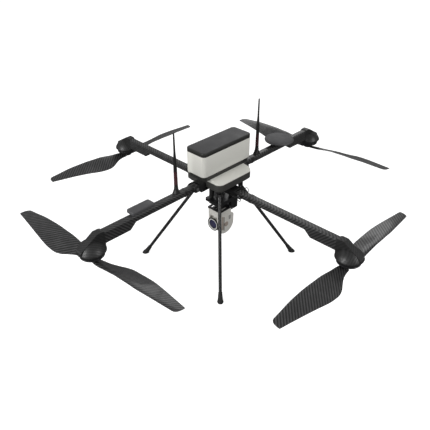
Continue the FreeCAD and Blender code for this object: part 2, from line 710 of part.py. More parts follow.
def gimbal():
    dampers = []
    for x in ("-damper_x", "damper_x"):
        for y in ("gimbal_y - damper_y", "gimbal_y + damper_y"):
            place = Placement(Vector(number(x), number(y), 0), Rotation())
            damper = new_body("damper", place, keep=False)
            waist = "damper_radius - 2.5"
            middle = "(damper_base + plate_base) / 2"
            turn(damper, "Revolution", [
                ("0", "damper_base"), (waist, "damper_base"), (waist, "damper_base + 3"),
                ("damper_radius", f"{middle} - 4"), ("damper_radius", f"{middle} + 4"),
                (waist, "plate_base - 3"), (waist, "plate_base"), ("0", "plate_base")])
            dampers.append(damper)
    group("gimbal_dampers", dampers)

    carrier = new_body("gimbal_carrier")
    block(carrier, "-carrier_half", "carrier_half", "gimbal_y - carrier_front",
          "gimbal_y + carrier_rear", "carrier_base", "damper_base")
    dress(carrier, "Fillet", "6", upright)
    drill(carrier, "XY_Plane", "0", "gimbal_y", "yaw_shaft + running_gap", "20",
          offset="damper_base")

    yaw = new_body("gimbal_yaw_arm", Placement(Vector(0, number("gimbal_y"), 0), Rotation()))
    turn(yaw, "Revolution", [("0", "yaw_arm_top"), ("yaw_radius", "yaw_arm_top"),
                             ("yaw_radius", "carrier_base - 0.3"),
                             ("yaw_shaft", "carrier_base - 0.3"),
                             ("yaw_shaft", "damper_base - 1"), ("0", "damper_base - 1")])
    block(yaw, "-20", "20", "-28", "roll_box_front + 26 - gimbal_y", "yaw_arm_base",
          "yaw_arm_top")
    block(yaw, "-17", "17", "roll_box_front - gimbal_y", "roll_box_front + 26 - gimbal_y",
          "roll_level - 13", "yaw_arm_base + 2")
    drill(yaw, "XZ_Plane", "0", "roll_level", "roll_shaft + running_gap", "16",
          offset="-(roll_box_front - gimbal_y)", symmetric=True)

    frame = new_body("gimbal_roll_frame")
    top = "roll_level + 4"
    block(frame, "-24", "24", "-20", "roll_box_front - 6", "roll_level", top)
    # three long slots
    for x in (-15, 0, 15):
        block(frame, f"{x} - 4.5", f"{x} + 4.5", "-15", "14", "roll_level", top, kind="Pocket")
    disc = sketch_on(frame, "XZ_Plane", "-roll_box_front + 0.4")
    circle(disc, "0", "roll_level", "12")
    feature(frame, "Pad", disc, "7")
    shaft = sketch_on(frame, "XZ_Plane", "-roll_box_front - 7")
    circle(shaft, "0", "roll_level", "roll_shaft")
    feature(frame, "Pad", shaft, "9")
    block(frame, "-13", "13", "20", "roll_box_front", "roll_level - 20", "roll_level - 2",
          kind="Pocket")

    yoke = new_body("camera_yoke")
    cheek = sketch_on(yoke, "YZ_Plane")
    front, rear = "gimbal_y - yoke_radius", "gimbal_y + yoke_radius"
    outline(cheek, [(front, "tilt_level"), ("gimbal_y", "tilt_level - yoke_radius", "-yoke_radius"),
                    (rear, "tilt_level", "-yoke_radius"), (rear, "roll_level - 26"),
                    ("roll_box_front - 3", "roll_level - 19"),
                    ("roll_box_front - 3", "roll_level - 2"), (front, "roll_level - 2")])
    feature(yoke, "Pad", cheek, "2 * yoke_half", symmetric=True)
    slot = sketch_on(yoke, "YZ_Plane")
    rectangle(slot, f"{front} - 1", f"{rear} + 1", "tilt_level - yoke_radius - 1",
              "tilt_level + yoke_radius - 1")
    feature(yoke, "Pocket", slot, "2 * yoke_side", symmetric=True)
    drill(yoke, "YZ_Plane", "gimbal_y", "tilt_level", "4 + running_gap", "60")
    # a plinth up to the slotted frame
    block(yoke, "-24", "24", "16", "roll_box_front - 8", "roll_level - 2", "roll_level")
    block(yoke, "-24", "24", front, f"{front} + 5", "roll_level - 2", "roll_level")

    drum = new_body("camera_drum")
    barrel = sketch_on(drum, "YZ_Plane")
    circle(barrel, "gimbal_y", "tilt_level", "drum_radius")
    feature(drum, "Pad", barrel, "2 * drum_half", symmetric=True)
    pins = sketch_on(drum, "YZ_Plane")
    circle(pins, "gimbal_y", "tilt_level", "4")
    feature(drum, "Pad", pins, "2 * yoke_half + 1", symmetric=True)
    neck = sketch_on(drum, "XZ_Plane", "-(gimbal_y) + 10")
    circle(neck, "0", "lens_level", "12")
    feature(drum, "Pad", neck, "yoke_radius - 13")

    # own Z axis points forwards out of the lens, from just ahead of the cheeks
    lens = new_body("camera_lens", Placement(Vector(0, number("gimbal_y - yoke_radius - 0.5"),
                                                    number("lens_level")),
                                             Rotation(Vector(1, 0, 0), 90)))
    turn(lens, "Revolution", [("0", "-3.5"), ("12", "-3.5"), ("12", "0"),
                              ("lens_radius - 0.5", "0"), ("lens_radius", "0.5"),
                              ("lens_radius", "2"), ("lens_radius - 1", "3"),
                              ("lens_radius - 5", "3"), ("lens_radius - 7", "0.5"),
                              ("0", "0.5")])


# ---- aerials and boxes on the arms ---------------------------------------------------------


def whip(name, azimuth):
    body = new_body("antenna_" + name, turned(azimuth, "whip_reach"))
    top = "upper_level + tube_tall / 2"
    block(body, "-9", "9", "-6.4", "6.4", top, f"{top} + 3")
    turn(body, "Revolution", [("0", f"{top} + 1"), ("6.2", f"{top} + 1"), ("6.2", f"{top} + 14"),
                              ("5", f"{top} + 20"), ("5", f"{top} + 106"),
                              ("2.6", f"{top} + 118"), ("2.2", "whip_top - 1"),
                              ("1.2", "whip_top"), ("0", "whip_top")])


def arm_boxes():
    top = "upper_level + tube_tall / 2"
    puck = new_body("gnss_receiver", Placement(Vector(0, number("puck_reach"), 0), Rotation()))
    turn(puck, "Revolution", [("0", top), ("14", top), ("20", f"{top} + 2"),
                              ("puck_radius - 1", f"{top} + 8"), ("puck_radius", f"{top} + 11"),
                              ("puck_radius - 3", f"{top} + 14.5"),
                              ("0", f"{top} + 14.5 + puck_rise",
                               "-(((puck_radius - 3) ^ 2 + puck_rise ^ 2) / (2 * puck_rise))")])
    radio = new_body("radio_module")
    block(radio, "-20", "7", "-295", "-228", top, f"{top} + 8.5")
    dress(radio, "Fillet", "5", upright)
    dress(radio, "Fillet", "1.5", lambda e: at_level(e, number(f"{top} + 8.5")))


# ---- assembly ------------------------------------------------------------------------------

BLADE_AZIMUTH = {"front": 4, "rear": 2.5, "left": 91.5, "right": 90}

for arm, (azimuth, layer) in ARMS.items():
    arm_tube(arm, azimuth, layer)
    motor_cover(arm, azimuth, layer)
    motor_stator(arm, azimuth, layer)
    motor_bell(arm, azimuth, layer)
    propeller(arm, azimuth, layer, BLADE_AZIMUTH[arm])
    arm_bracket(arm, azimuth, layer)
group("arm_hinge_pins", [arm_hinge_pin(arm, *place) for arm, place in ARMS.items()])
for corner, azimuth in LEGS.items():
    leg(corner, azimuth)
group("leg_brackets", [leg_bracket(*item) for item in LEGS.items()])
group("leg_hinge_pins", [leg_hinge_pin(*item) for item in LEGS.items()])
body_shells()
circuit_board("avionics_board", "48", "tub_base + shell", "2",
              [("0", "20", "14", "10", "3"), ("-28", "-20", "9", "12", "4"),
               ("26", "-24", "10", "10", "5"), ("30", "30", "6", "8", "6")])
circuit_board("power_board", "18", "hub_floor + shell", "4",
              [("0", "0", "8", "6", "4"), ("-11", "11", "4", "4", "12"),
               ("-11", "-11", "4", "4", "12"), ("12", "0", "3", "10", "8")])
battery_tray()
battery()
payload_plate()
gimbal()
whip("front", -90)
whip("rear", 90)
arm_boxes()
doc.recompute()

# ---- checks and export ---------------------------------------------------------------------

for item in doc.Objects:
    if "Invalid" in item.State or "Error" in item.State:
        raise RuntimeError(f"{item.Label} failed: {item.State}")
for part in parts:
    if part.Shape.isNull() or not part.Shape.isValid():
        raise RuntimeError(f"{part.Label} has no valid shape")
os.makedirs("parts", exist_ok=True)
for part in parts:
    box = part.Shape.BoundBox
    print(f"{part.Label:26s} solids {len(part.Shape.Solids)} volume {part.Shape.Volume:10.0f}  "
          f"x {box.XMin:8.1f} {box.XMax:8.1f}  y {box.YMin:8.1f} {box.YMax:8.1f}  "
          f"z {box.ZMin:7.1f} {box.ZMax:7.1f}")
    part.Shape.exportStep(f"parts/{part.Label}.step")
print(len(parts), "nodes")
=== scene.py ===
import math

import bmesh
import bpy
from mathutils import Matrix, Vector


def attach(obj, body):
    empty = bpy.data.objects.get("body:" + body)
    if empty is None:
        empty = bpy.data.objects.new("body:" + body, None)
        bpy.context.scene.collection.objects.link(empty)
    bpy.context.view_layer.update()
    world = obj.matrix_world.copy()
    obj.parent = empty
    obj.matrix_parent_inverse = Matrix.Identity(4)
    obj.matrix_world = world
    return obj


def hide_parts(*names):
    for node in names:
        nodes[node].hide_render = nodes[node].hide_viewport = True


# Looks for the folding quadcopter. Helpers take millimetres; Blender is in metres.

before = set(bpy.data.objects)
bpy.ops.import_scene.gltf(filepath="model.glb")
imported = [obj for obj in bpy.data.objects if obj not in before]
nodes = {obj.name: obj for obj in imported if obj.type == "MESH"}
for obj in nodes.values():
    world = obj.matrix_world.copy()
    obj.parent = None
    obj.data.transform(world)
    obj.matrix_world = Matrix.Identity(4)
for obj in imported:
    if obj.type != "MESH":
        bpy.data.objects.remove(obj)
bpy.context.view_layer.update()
MM = 0.001

# Driving sizes, the same as the CAD part's, in millimetres and degrees.
ARM_REACH = 411
LEVEL = {"front": 258, "rear": 258, "left": 232.5, "right": 232.5}
HINGE = {"front": 94, "rear": 94, "left": 82, "right": 82}
AZIMUTH = {"front": -90, "rear": 90, "left": 0, "right": 180}
BLADE_AZIMUTH = {"front": 4, "rear": 2.5, "left": 91.5, "right": 90}
LEG_AZIMUTH = {"front_left": -45, "rear_left": 45, "rear_right": 135, "front_right": -135}
PIVOT_REACH = 58
PIVOT_LEVEL = 228
FOOT_REACH = 215.8
TUBE_HALF_WIDTH = 9.5
TUBE_HALF_HEIGHT = 9
PROP_RADIUS = 276
FLOOR_HALF = 40  # metres


# ---- materials -------------------------------------------------------------------------


def new_material(name, roughness, metallic=0.0, coat=0.0):
    material = bpy.data.materials.new(name)
    material.use_nodes = True
    shader = material.node_tree.nodes["Principled BSDF"]
    shader.inputs["Roughness"].default_value = roughness
    shader.inputs["Metallic"].default_value = metallic
    shader.inputs["Coat Weight"].default_value = coat
    shader.inputs["Coat Roughness"].default_value = 0.12
    return material, material.node_tree, shader


def math_node(tree, operation, a, b=None):
    node = tree.nodes.new("ShaderNodeMath")
    node.operation = operation
    for socket, value in zip(node.inputs, (a, b)):
        if value is None:
            continue
        if isinstance(value, (int, float)):
            socket.default_value = value
        else:
            tree.links.new(value, socket)
    return node.outputs[0]


def mixed_colour(tree, factor, first, second):
    mix = tree.nodes.new("ShaderNodeMix")
    mix.data_type = "RGBA"
    tree.links.new(factor, mix.inputs["Factor"])
    for socket, value in ((mix.inputs["A"], first), (mix.inputs["B"], second)):
        if isinstance(value, tuple):
            socket.default_value = (*value, 1)
        else:
            tree.links.new(value, socket)
    return mix.outputs["Result"]


def object_point(tree):
    return tree.nodes.new("ShaderNodeTexCoord").outputs["Object"]


def noise(tree, scale, detail=3.0, point=None):
    node = tree.nodes.new("ShaderNodeTexNoise")
    node.inputs["Scale"].default_value = scale
    node.inputs["Detail"].default_value = detail
    node.inputs["Roughness"].default_value = 0.55
    tree.links.new(point or object_point(tree), node.inputs["Vector"])
    return node.outputs["Fac"]


def ranged(tree, value, low, high, start=0.3, stop=0.7):
    node = tree.nodes.new("ShaderNodeMapRange")
    tree.links.new(value, node.inputs["Value"])
    for name, number in (("From Min", start), ("From Max", stop), ("To Min", low), ("To Max", high)):
        node.inputs[name].default_value = number
    return node.outputs["Result"]


def bump(tree, shader, height, depth, strength=1.0):
    node = tree.nodes.new("ShaderNodeBump")
    node.inputs["Distance"].default_value = depth
    node.inputs["Strength"].default_value = strength
    tree.links.new(height, node.inputs["Height"])
    tree.links.new(node.outputs["Normal"], shader.inputs["Normal"])


def plastic(name, colour, roughness=0.45, grain=900, depth=0.00004, vary=0.06, metallic=0.0):
    """Moulded plastic or coated metal: a fine grain, faint mottling and a little handling wear."""
    material, tree, shader = new_material(name, roughness, metallic)
    point = object_point(tree)
    darker = tuple(c * (1 - vary) for c in colour)
    lighter = tuple(min(1, c * (1 + vary)) for c in colour)
    cloud = ranged(tree, noise(tree, 14, 4, point), 0, 1)
    tree.links.new(mixed_colour(tree, cloud, darker, lighter), shader.inputs["Base Color"])
    smear = noise(tree, 35, 5, point)
    tree.links.new(ranged(tree, smear, roughness - 0.06, roughness + 0.08), shader.inputs["Roughness"])
    bump(tree, shader, noise(tree, grain, 2, point), depth)
    return material


def metal(name, colour, roughness=0.3):
    """Machined metal with faint turning marks, finely spaced along Z and long across it."""
    material, tree, shader = new_material(name, roughness, 1.0)
    point = object_point(tree)
    lines = tree.nodes.new("ShaderNodeVectorMath")
    lines.operation = "MULTIPLY"
    lines.inputs[1].default_value = (60, 60, 2460)
    tree.links.new(point, lines.inputs[0])
    marks = noise(tree, 1.0, 2, lines.outputs[0])
    tree.links.new(ranged(tree, marks, roughness - 0.1, roughness + 0.12), shader.inputs["Roughness"])
    tree.links.new(mixed_colour(tree, marks, tuple(c * 0.8 for c in colour), colour),
                   shader.inputs["Base Color"])
    bump(tree, shader, marks, 0.00002)
    return material


def projected(tree, point, direction):
    dot = tree.nodes.new("ShaderNodeVectorMath")
    dot.operation = "DOT_PRODUCT"
    dot.inputs[1].default_value = direction
    tree.links.new(point, dot.inputs[0])
    return dot.outputs["Value"]


def carbon(name, along, across, cell=2.4, dark=0.006, light=0.075, roughness=0.36, coat=0.2):
    """Twill carbon cloth under lacquer: two tows over, two under, stepping one tow a row, with the
    cross tows painted paler as painted sheen.
    """
    material, tree, shader = new_material(name, roughness, 0.0, coat)
    point = object_point(tree)
    u = math_node(tree, "DIVIDE", projected(tree, point, along), cell * MM)
    v = math_node(tree, "DIVIDE", projected(tree, point, across), cell * MM)
    step = math_node(tree, "ADD", math_node(tree, "FLOOR", u), math_node(tree, "FLOOR", v))
    turn = math_node(tree, "FLOORED_MODULO", step, 4)
    over = math_node(tree, "LESS_THAN", turn, 1.5)
    tow_bulge_and_sheen = []
    for coordinate in (u, v):
        share = math_node(tree, "FRACT", coordinate)
        tow_bulge_and_sheen.append(math_node(tree, "SINE", math_node(tree, "MULTIPLY", share, math.pi)))
    tone = ranged(tree, noise(tree, 60, 3, point), 0.75, 1.25)
    # painted sheen: the cross tows take the pale light tone and the lengthwise tows the dark one,
    # standing in for the fibres' directional highlight; every tow is also painted darker towards its
    # edges as painted shade
    shaded_warp = mixed_colour(tree, tow_bulge_and_sheen[1], (dark * 0.6,) * 3, (dark,) * 3)
    sheen_weft = mixed_colour(tree, tow_bulge_and_sheen[0], (light * 0.7,) * 3, (light, light, light * 1.03))
    cloth = mixed_colour(tree, over, sheen_weft, shaded_warp)
    toned = tree.nodes.new("ShaderNodeVectorMath")
    toned.operation = "SCALE"
    tree.links.new(cloth, toned.inputs[0])
    tree.links.new(tone, toned.inputs["Scale"])
    tree.links.new(toned.outputs[0], shader.inputs["Base Color"])
    height = math_node(tree, "ADD", math_node(tree, "MULTIPLY", over, tow_bulge_and_sheen[1]),
                       math_node(tree, "MULTIPLY", math_node(tree, "SUBTRACT", 1, over), tow_bulge_and_sheen[0]))
    bump(tree, shader, height, 0.00010, 0.6)
    tree.links.new(ranged(tree, math_node(tree, "ADD", over, noise(tree, 200, 2, point)),
                          roughness - 0.05, roughness + 0.1, 0.3, 1.6), shader.inputs["Roughness"])
    return material


def glass(name, colour):
    """Coated front element: deep violet with a paler bloom in patches that follow noise."""
    material, tree, shader = new_material(name, 0.06, 0.0, 1.0)
    point = object_point(tree)
    bloom = ranged(tree, noise(tree, 60, 2, point), 0, 1)
    tree.links.new(mixed_colour(tree, bloom, colour, tuple(c * 2.2 for c in colour)),
                   shader.inputs["Base Color"])
    shader.inputs["Coat Roughness"].default_value = 0.03
    return material


def axis_cloth(name, azimuth, **more):
    """Cloth laid along a beam at that azimuth, carried over its top and down its sides."""
    turn = math.radians(azimuth)
    return carbon(name, (math.cos(turn), math.sin(turn), 0),
                  (-math.sin(turn), math.cos(turn), -1), **more)


OFF_WHITE = plastic("off_white_shell", (0.76, 0.755, 0.70), 0.42, depth=0.00002, vary=0.02)
TUB_GREY = plastic("tub_grey", (0.046, 0.046, 0.043), 0.45)
CHARCOAL = plastic("charcoal_texture", (0.060, 0.060, 0.062), 0.55, grain=1500)
CHARCOAL_RIM = plastic("charcoal_rim", (0.022, 0.022, 0.020), 0.4, grain=1500)
BLACK = plastic("black_moulding", (0.012, 0.012, 0.012), 0.42)
BLACK_METAL = plastic("black_anodised", (0.012, 0.012, 0.013), 0.36, grain=2500, metallic=0.15)
MOTOR = metal("motor_bell_metal", (0.10, 0.10, 0.105), 0.34)
COPPER = metal("winding_copper", (0.45, 0.20, 0.08), 0.35)
BRASS = metal("gold_spacer", (0.75, 0.55, 0.18), 0.28)
STEEL = metal("pin_steel", (0.42, 0.42, 0.43), 0.28)
DARK_STEEL = metal("screw_steel", (0.12, 0.12, 0.125), 0.35)
RUBBER = plastic("foot_rubber", (0.010, 0.010, 0.010), 0.75, grain=1800, depth=0.00006)
WARM_GREY = plastic("camera_shell", (0.76, 0.745, 0.70), 0.4, depth=0.00002, vary=0.03)
PINK_GREY = plastic("camera_strip", (0.44, 0.37, 0.32), 0.4, depth=0.00002, vary=0.05)
WHITE = plastic("lens_ring_white", (0.72, 0.72, 0.70), 0.35, depth=0.00001, vary=0.02)
PUCK_GREY = plastic("receiver_grey", (0.072, 0.072, 0.076), 0.55)
RED_BAND = plastic("antenna_band", (0.055, 0.016, 0.020), 0.45)
CIRCUIT = plastic("solder_mask", (0.02, 0.10, 0.05), 0.35)
FOIL = metal("cell_foil", (0.6, 0.6, 0.62), 0.35)
LENS = glass("lens_glass", (0.022, 0.022, 0.055))


# ---- mesh helpers ----------------------------------------------------------------------


def place_at(x=0, y=0, z=0, azimuth=0, tilt=0):
    """x outwards along an azimuth; a tilt leans a leg's foot outwards."""
    turn = Matrix.Rotation(math.radians(azimuth), 4, "Z")
    lean = Matrix.Rotation(math.radians(-tilt), 4, "Y")
    return Matrix.Translation((x, y, z)) @ turn @ lean


def polar(reach, z, azimuth, tilt=0):
    turn = math.radians(azimuth)
    return place_at(reach * math.cos(turn), reach * math.sin(turn), z, azimuth, tilt)


def make(name, points, faces, material, body, place=None, bevel=0.0, angle=32, replaces=(),
         slot=None):
    """A mesh from points in millimetres, smoothed except at its sharp edges, riding on a body."""
    place = place or Matrix.Identity(4)
    mesh = bpy.data.meshes.new(name)
    mesh.from_pydata([tuple((place @ Vector(p)) * MM) for p in points], [], faces)
    work = bmesh.new()
    work.from_mesh(mesh)
    bmesh.ops.remove_doubles(work, verts=work.verts, dist=1e-7)
    bmesh.ops.recalc_face_normals(work, faces=work.faces)
    work.to_mesh(mesh)
    work.free()
    mesh.shade_smooth()
    mesh.set_sharp_from_angle(angle=math.radians(angle))
    piece = bpy.data.objects.new(name, mesh)
    bpy.context.scene.collection.objects.link(piece)
    mesh.materials.append(material)
    if bevel:
        add_bevel(piece, bevel)
    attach(piece, body)
    if replaces:
        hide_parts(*replaces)
    return piece


def add_bevel(piece, width, segments=2):
    soft = piece.modifiers.new("Bevel", "BEVEL")
    soft.width = width * MM
    soft.segments = segments
    soft.limit_method = "ANGLE"
    soft.angle_limit = math.radians(32)
    soft.harden_normals = True


def spun_points(profile, steps):
    points, faces = [], []
    for r, z in profile:
        for i in range(steps):
            turn = 2 * math.pi * i / steps
            points.append((r * math.cos(turn), r * math.sin(turn), z))
    for ring in range(len(profile) - 1):
        for i in range(steps):
            a, b = ring * steps + i, ring * steps + (i + 1) % steps
            faces.append((a, b, b + steps, a + steps))
    return points, faces


def spun(name, profile, material, body, place=None, steps=64, **more):
    """A closed solid of revolution about the place's Z axis. The profile is (radius, height)."""
    points, faces = spun_points(profile, steps)
    if profile[0][0] > 1e-6 and profile[0] != profile[-1]:
        faces.append(tuple(range(steps)))
    if profile[-1][0] > 1e-6 and profile[0] != profile[-1]:
        start = (len(profile) - 1) * steps
        faces.append(tuple(range(start, start + steps)))
    return make(name, points, faces, material, body, place, **more)


def lofted(name, rings, material, body, place=None, closed=False, **more):
    """Skins rings of equal length, capping both ends unless the rings close on themselves."""
    count = len(rings[0])
    points = [p for ring in rings for p in ring]
    faces = []
    spans = len(rings) if closed else len(rings) - 1
    for k in range(spans):
        for i in range(count):
            a, b = k * count, ((k + 1) % len(rings)) * count
            j = (i + 1) % count
            faces.append((a + i, a + j, b + j, b + i))
    if not closed:
        faces.append(tuple(range(count)))
        faces.append(tuple(range((len(rings) - 1) * count, len(rings) * count)))
    return make(name, points, faces, material, body, place, **more)


def rounded(half_x, half_y, corner, steps=8, centre=(0, 0)):
    """The outline of a rounded rectangle, anticlockwise."""
    outline = []
    for quarter, (sx, sy) in enumerate(((1, 1), (-1, 1), (-1, -1), (1, -1))):
        for i in range(steps + 1):
            turn = math.pi / 2 * (quarter + i / steps)
            outline.append((centre[0] + sx * (half_x - corner) + corner * math.cos(turn),
                            centre[1] + sy * (half_y - corner) + corner * math.sin(turn)))
    return outline


def stacked(name, levels, corner, material, body, steps=12, **more):
    """Rounded rectangles (half x, half y, z) skinned into one solid."""
    rings = []
    for half_x, half_y, z in levels:
        ring_corner = max(0.3, corner + min(half_x - levels[0][0], 0) * 0.5)
        rings.append([(x, y, z) for x, y in rounded(half_x, half_y, ring_corner, steps)])
    return lofted(name, rings, material, body, **more)


def prism(name, outline, low, high, material, body, place=None, **more):
    """An outline carried straight up from one height to another."""
    rings = [[(x, y, z) for x, y in outline] for z in (low, high)]
    return lofted(name, rings, material, body, place, **more)


def hoop(name, radius, wire, material, body, place=None, steps=40, around=12, **more):
    """A ring of round wire in the place's XY plane."""
    rings = []
    for i in range(steps):
        turn = 2 * math.pi * i / steps
        ring = []
        for k in range(around):
            tip = 2 * math.pi * k / around
            reach = radius + wire * math.cos(tip)
            ring.append((reach * math.cos(turn), reach * math.sin(turn), wire * math.sin(tip)))
        rings.append(ring)
    return lofted(name, rings, material, body, place, closed=True, **more)


def merged(name, pieces, replaces=()):
    """Joins small repeated pieces into one object, which stays on the body that they ride on."""
    with bpy.context.temp_override(active_object=pieces[0], object=pieces[0],
                                   selected_objects=pieces, selected_editable_objects=pieces):
        for piece in pieces:
            for modifier in list(piece.modifiers):
                with bpy.context.temp_override(object=piece, active_object=piece):
                    bpy.ops.object.modifier_apply(modifier=modifier.name)
        bpy.ops.object.join()
    pieces[0].name = name
    if replaces:
        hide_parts(*replaces)


def screws(name, spots, radius, height, material, body, place=None, facing=None):
    """Socket-head screws, each standing on its spot and facing along the given direction."""
    profile = [(0.45 * radius, height * 0.35), (0.5 * radius, height), (0.86 * radius, height),
               (radius, height * 0.8), (radius, 0)]
    turn = Vector((0, 0, 1)).rotation_difference(Vector(facing or (0, 0, 1))).to_matrix().to_4x4()
    made = []
    for i, spot in enumerate(spots):
        own = (place or Matrix.Identity(4)) @ Matrix.Translation(spot) @ turn
        made.append(spun(f"{name}_{i}", profile, material, body, own, steps=20))
    merged(name, made)


def paint(node, material, bevel=0.5, segments=2):
    """Keeps a CAD node, with its edges eased and its finish replaced."""
    piece = nodes[node]
    slots = piece.data.materials
    slots.clear()
    slots.append(material)
    weld = piece.modifiers.new("Weld", "WELD")
    weld.merge_threshold = 1e-6
    if bevel:
        add_bevel(piece, bevel, segments)
    return piece


# ---- camera, floor and light -----------------------------------------------------------

camera_data = bpy.data.cameras.new("camera")
camera = bpy.data.objects.new("camera", camera_data)
bpy.context.scene.collection.objects.link(camera)
camera.location = (0.83666, -0.87509, 0.92465)
camera.rotation_euler = (math.radians(90 - 33.294), 0, math.radians(44.239))
camera_data.lens = 42.99
camera_data.sensor_width = 36
bpy.context.scene.camera = camera


def floor():
    """A pale sheet that glows a little, and lights nothing above it."""
    material, tree, shader = new_material("floor_white", 0.9)
    cloud = noise(tree, 3, 2)
    tree.links.new(mixed_colour(tree, cloud, (0.78, 0.78, 0.78), (0.80, 0.80, 0.80)),
                   shader.inputs["Base Color"])
    shader.inputs["Specular IOR Level"].default_value = 0.0
    shader.inputs["Emission Color"].default_value = (1, 1, 1, 1)
    shader.inputs["Emission Strength"].default_value = 0.72
    mesh = bpy.data.meshes.new("floor")
    corners = [(x * FLOOR_HALF, y * FLOOR_HALF, 0) for x, y in ((-1, -1), (1, -1), (1, 1), (-1, 1))]
    mesh.from_pydata(corners, [], [(0, 1, 2, 3)])
    mesh.materials.append(material)
    sheet = bpy.data.objects.new("floor", mesh)
    bpy.context.scene.collection.objects.link(sheet)
    sheet.location.z = -0.0003
    sheet.visible_diffuse = False
    sheet.visible_glossy = False


def sky():
    """A soft grey surround, darker below the horizon."""
    world = bpy.data.worlds.new("studio")
    world.use_nodes = True
    tree = world.node_tree
    parted = tree.nodes.new("ShaderNodeSeparateXYZ")
    tree.links.new(tree.nodes.new("ShaderNodeTexCoord").outputs["Generated"], parted.inputs[0])
    shade = ranged(tree, parted.outputs["Z"], 0.10, 0.38, -0.15, 0.15)
    tree.nodes["Background"].inputs["Color"].default_value = (1, 1, 1, 1)
    tree.links.new(shade, tree.nodes["Background"].inputs["Strength"])
    bpy.context.scene.world = world


def lamp(name, place, size, power):
    """A soft square lamp aimed at the middle of the drone. Places are in metres."""
    data = bpy.data.lights.new(name, "AREA")
    data.size = size
    data.energy = power
    light = bpy.data.objects.new(name, data)
    bpy.context.scene.collection.objects.link(light)
    light.location = place
    aim = Vector((0, 0, 0.25)) - Vector(place)
    light.rotation_euler = aim.to_track_quat("-Z", "Y").to_euler()


floor()
sky()
bpy.context.scene.view_settings.view_transform = "Standard"
lamp("key", (-0.4, -2.8, 1.3), 1.6, 66)
lamp("fill", (2.6, 0.6, 1.4), 1.6, 28)
lamp("back", (-1.6, 2.2, 1.6), 1.2, 8)


# ---- arms and motors -------------------------------------------------------------------

ROOT_SHARE = 0.035  # where a blade starts, as a share of the radius
TIP_SHARE = 0.952  # where its leading edge starts to curve back
CREST = 0.66  # how far the crest line is across the blade from its trailing edge
CLOTH_LAY = -94  # the blade's cloth from the blade's own azimuth

# share of the radius, trailing edge, leading edge, pitch in degrees, rise above the hub
BLADE = [
    (0.03, 10.5, -11, 8, -4),
    (0.10, 13, -15, 10, -2),
    (0.16, 17, -16, 13, -1.5),
    (0.22, 25, -17, 17, -1),
    (0.28, 34, -18.5, 19, -0.5),
    (0.34, 39, -19.3, 20, 0.5),
    (0.42, 39, -20, 19.5, 1.5),
    (0.50, 37, -20.5, 18, 3.5),
    (0.60, 32.5, -20.5, 14, 6),
    (0.74, 25, -19, 12, 8),
    (0.89, 16.5, -16, 8, 8),
    (1.00, 10.5, -14, 4, 8),
]


def along_blade(share):
    """The blade's four measures at a share of its radius, on a smooth curve through BLADE."""
    last = len(BLADE) - 1
    i = max(0, min(last - 1, sum(row[0] <= share for row in BLADE) - 1))
    t = (share - BLADE[i][0]) / (BLADE[i + 1][0] - BLADE[i][0])
    values = []
    for column in range(1, 5):
        p = [BLADE[max(0, min(last, i + k))] for k in (-1, 0, 1, 2)]
        slopes = []
        for a, b in ((0, 2), (1, 3)):
            run = max(1e-6, p[b][0] - p[a][0])
            slopes.append((p[b][column] - p[a][column]) / run * (p[2][0] - p[1][0]))
        y0, y1 = p[1][column], p[2][column]
        values.append(y0 * (2 * t ** 3 - 3 * t * t + 1) + slopes[0] * (t ** 3 - 2 * t * t + t)
                      + y1 * (3 * t * t - 2 * t ** 3) + slopes[1] * (t ** 3 - t * t))
    return values


def blade_rings(stations=56, across=12):
    """Sections of one blade: flat behind a crest line, rounded ahead of it, thin at the edges."""
    rings = []
    for k in range(stations + 1):
        share = ROOT_SHARE + (1 - ROOT_SHARE) * (1 - (1 - k / stations) ** 1.25)
        trailing, leading, pitch, rise = along_blade(share)
        middle = (trailing + leading) / 2
        past = max(0.0, (share - TIP_SHARE) / (1 - TIP_SHARE))
        leading += (trailing - leading) * 0.75 * (1 - math.sqrt(max(0.0, 1 - past ** 2)))
        thickness = 5.5 - 4.4 * min(1, share * 1.5)
        flat = math.cos(math.radians(pitch))
        slope = math.tan(math.radians(pitch))
        ring = []
        top = []
        for t in (i / across for i in range(across + 1)):
            ahead = max(0, (t - CREST) / (1 - CREST))
            top.append((t, thickness * min(t / CREST, 1) * math.sqrt(max(0, 1 - ahead ** 2))))
        under = [(i / across, -0.16 * thickness * math.sin(math.pi * i / across))
                 for i in range(across - 1, 0, -1)]
        for t, lift in top + under:
            y = trailing + (leading - trailing) * t
            height = (middle - y) * slope * flat
            ring.append((share * PROP_RADIUS, middle + (y - middle) * flat, rise + height + lift))
        rings.append(ring)
    return rings


